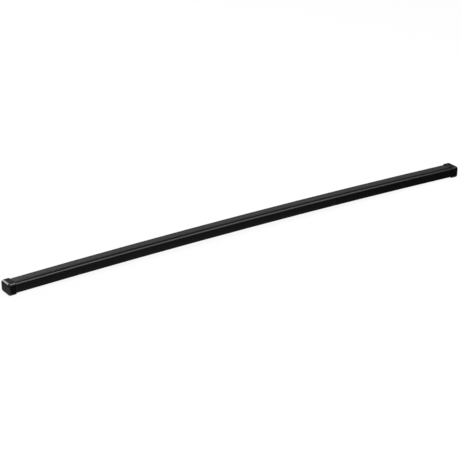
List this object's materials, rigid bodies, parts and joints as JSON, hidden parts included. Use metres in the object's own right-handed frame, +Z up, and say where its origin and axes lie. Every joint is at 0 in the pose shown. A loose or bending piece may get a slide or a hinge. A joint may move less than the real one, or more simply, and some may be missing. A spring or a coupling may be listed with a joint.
{
  "type": "roof rack crossbar",
  "caption": "Slightly arched black roof bar of rectangular section: a steel tube in a plastic jacket with fine grip ribs on top, closed at its ends by slip-on moulded caps.",
  "frame": {"origin": "below the middle of the bar, on the surface that the two end caps rest on", "axes": "+X along the bar, across the vehicle; +Y across the bar, away from the side the picture shows; +Z up"},
  "size_m": [1.1804, 0.037, 0.0328],
  "materials": {
    "galvanised_steel": "dull zinc",
    "black_jacket": "matte, ribbed along the top, top corners rubbed to a satin",
    "black_cap": "fine matte grain, edges rubbed to a satin"
  },
  "bodies": {
    "root": {"steel_tube": "galvanised_steel", "plastic_jacket": "black_jacket", "left_end_cap": "black_cap", "right_end_cap": "black_cap"}
  },
  "joints": []
}
